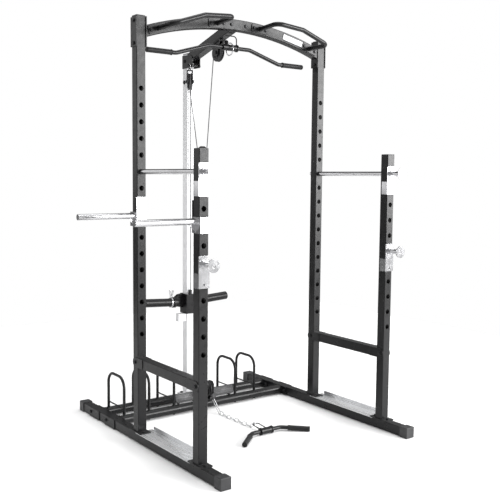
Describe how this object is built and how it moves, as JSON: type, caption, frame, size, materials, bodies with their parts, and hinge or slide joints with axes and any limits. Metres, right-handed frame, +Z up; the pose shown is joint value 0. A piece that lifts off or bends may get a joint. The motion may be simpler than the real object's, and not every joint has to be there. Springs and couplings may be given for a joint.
{
  "type": "power cage",
  "caption": "Steel half-open power cage with an arched pull-up beam, a plate-loaded lat tower and low row, safety rods, bar hooks, dip bars and plate hoops.",
  "frame": {"origin": "centre of the footprint's bounding box, on the floor", "axes": "+Z up, +Y from the open front of the cage to the lat tower at the back, +X to the right seen from the front"},
  "size_m": [1.6034, 1.462, 2.2249],
  "materials": {
    "black_powder_coat": "fine-textured satin black powder coat",
    "column_finish": "bright plated guide column, lightly polished",
    "tray_steel": "satin silver sheet",
    "tread_plate": "raised diamond tread plate",
    "chrome": "bright chrome plate",
    "black_plastic": "moulded black plastic",
    "grip_rubber": "ribbed black rubber",
    "cable_sheath": "grey coated steel cable",
    "zinc_steel": "bright zinc plate",
    "black_oxide": "blackened fasteners with a slight sheen"
  },
  "bodies": {
    "root": {"left_base_tube": "black_powder_coat", "left_tall_upright": "black_powder_coat", "left_short_upright": "black_powder_coat", "left_side_brace": "black_powder_coat", "right_base_tube": "black_powder_coat", "right_tall_upright": "black_powder_coat", "right_short_upright": "black_powder_coat", "right_side_brace": "black_powder_coat", "pullup_beam": "black_powder_coat", "left_pullup_handle": "black_powder_coat", "right_pullup_handle": "black_powder_coat", "beam_side_plates": "black_powder_coat", "lat_boom": "black_powder_coat", "front_cross_tube": "black_powder_coat", "rear_cross_tube": "black_powder_coat", "left_plate_hoops": "black_powder_coat", "right_plate_hoops": "black_powder_coat", "front_pulley_block": "black_powder_coat", "rear_pulley_block": "black_powder_coat", "float_block": "black_powder_coat", "low_pulley_block": "black_powder_coat", "row_bar_sleeve": "black_powder_coat", "tower_column": "column_finish", "carriage_stops": "column_finish", "floor_trays": "tray_steel", "foot_plates": "tread_plate", "hanging_link": "chrome", "base_end_caps": "black_plastic", "upright_plugs": "black_plastic", "lat_cable": "cable_sheath", "low_cable": "cable_sheath", "floor_chain": "zinc_steel", "pulley_axles": "black_oxide", "frame_bolts": "black_oxide"},
    "lat_pull": {"lat_bar_sleeve": "black_powder_coat", "stop_ball": "grip_rubber", "snap_ring": "chrome", "lat_cable_end": "cable_sheath"},
    "lat_bar": {"lat_bar_tube": "black_powder_coat", "lat_bar_grips": "grip_rubber"},
    "carriage": {"carriage": "black_powder_coat", "carriage_bushings": "black_plastic", "carriage_cable": "cable_sheath"},
    "left_clip": {"left_sleeve_clip": "chrome"},
    "right_clip": {"right_sleeve_clip": "chrome"},
    "front_wheel": {"front_pulley_wheel": "black_plastic"},
    "rear_wheel": {"rear_pulley_wheel": "black_plastic"},
    "float_top_wheel": {"float_upper_wheel": "black_plastic"},
    "float_bottom_wheel": {"float_lower_wheel": "black_plastic"},
    "low_wheel": {"low_pulley_wheel": "black_plastic"},
    "row_bar": {"row_bar_tube": "black_powder_coat", "row_bar_grips": "grip_rubber"},
    "left_rod": {"left_safety_rod": "chrome"},
    "right_rod": {"right_safety_rod": "chrome"},
    "left_top_hook": {"left_upper_bar_hook": "chrome"},
    "left_bottom_hook": {"left_lower_bar_hook": "chrome"},
    "right_top_hook": {"right_upper_bar_hook": "chrome"},
    "right_bottom_hook": {"right_lower_bar_hook": "chrome"},
    "rear_dip": {"rear_dip_bar": "chrome"},
    "front_dip": {"front_dip_bar": "chrome"}
  },
  "joints": [
    {"name": "carriage_lift", "type": "slide", "parent": "root", "child": "carriage", "axis": [0, 0, 1], "range_m": [0, 0.9], "deforming": ["carriage_cable"]},
    {"name": "lat_bar_pull", "type": "slide", "parent": "root", "child": "lat_pull", "axis": [0, 0, -1], "range_m": [0, 0.9], "deforming": ["lat_cable_end"]},
    {"name": "lat_bar_turn", "type": "hinge", "parent": "lat_pull", "child": "lat_bar", "pos_m": [0.1357, 0.109, 2.088], "axis": [1, 0, 0], "range_deg": [-60, 60]},
    {"name": "front_pulley_spin", "type": "hinge", "parent": "root", "child": "front_wheel", "pos_m": [0.1357, 0.22, 2.075], "axis": [1, 0, 0], "range_deg": [0, 1173]},
    {"name": "rear_pulley_spin", "type": "hinge", "parent": "root", "child": "rear_wheel", "pos_m": [0.0997, 0.459, 1.934], "axis": [0.766, -0.6428, 0], "range_deg": [0, 1173]},
    {"name": "float_upper_spin", "type": "hinge", "parent": "root", "child": "float_top_wheel", "pos_m": [0.1357, 0.379, 1.508], "axis": [-1, 0, 0], "range_deg": [0, 1173]},
    {"name": "float_lower_spin", "type": "hinge", "parent": "root", "child": "float_bottom_wheel", "pos_m": [0.1357, 0.379, 1.404], "axis": [1, 0, 0], "continuous": true},
    {"name": "low_pulley_spin", "type": "hinge", "parent": "root", "child": "low_wheel", "pos_m": [0.1357, 0.303, 0.132], "axis": [1, 0, 0], "continuous": true},
    {"name": "row_bar_turn", "type": "hinge", "parent": "root", "child": "row_bar", "pos_m": [0.1477, -0.237, 0.0204], "axis": [-1, 0, 0], "range_deg": [0, 100]},
    {"name": "left_clip_slide", "type": "slide", "parent": "carriage", "child": "left_clip", "axis": [-0.9981, 0, 0.061], "range_m": [0, 0.15]},
    {"name": "right_clip_slide", "type": "slide", "parent": "carriage", "child": "right_clip", "axis": [0.9981, 0, 0.061], "range_m": [0, 0.15]},
    {"name": "left_rod_slide", "type": "slide", "parent": "root", "child": "left_rod", "axis": [0, 1, 0], "range_m": [0, 0.5]},
    {"name": "right_rod_slide", "type": "slide", "parent": "root", "child": "right_rod", "axis": [0, 1, 0], "range_m": [0, 0.5]},
    {"name": "left_top_hook_slide", "type": "slide", "parent": "root", "child": "left_top_hook", "axis": [0, -1, 0], "range_m": [0, 0.04]},
    {"name": "left_bottom_hook_slide", "type": "slide", "parent": "root", "child": "left_bottom_hook", "axis": [0, -1, 0], "range_m": [0, 0.04]},
    {"name": "right_top_hook_slide", "type": "slide", "parent": "root", "child": "right_top_hook", "axis": [0, -1, 0], "range_m": [0, 0.04]},
    {"name": "right_bottom_hook_slide", "type": "slide", "parent": "root", "child": "right_bottom_hook", "axis": [0, -1, 0], "range_m": [0, 0.04]},
    {"name": "rear_dip_slide", "type": "slide", "parent": "root", "child": "rear_dip", "axis": [0, -1, 0], "range_m": [0, 0.012]},
    {"name": "front_dip_slide", "type": "slide", "parent": "root", "child": "front_dip", "axis": [0, 1, 0], "range_m": [0, 0.012]}
  ],
  "couplings": [
    {"joint": "lat_bar_pull", "follows": "carriage_lift", "ratio": 1},
    {"joint": "front_pulley_spin", "follows": "carriage_lift", "rad_per_m": 22.727},
    {"joint": "rear_pulley_spin", "follows": "carriage_lift", "rad_per_m": 22.727},
    {"joint": "float_upper_spin", "follows": "carriage_lift", "rad_per_m": 22.727}
  ]
}
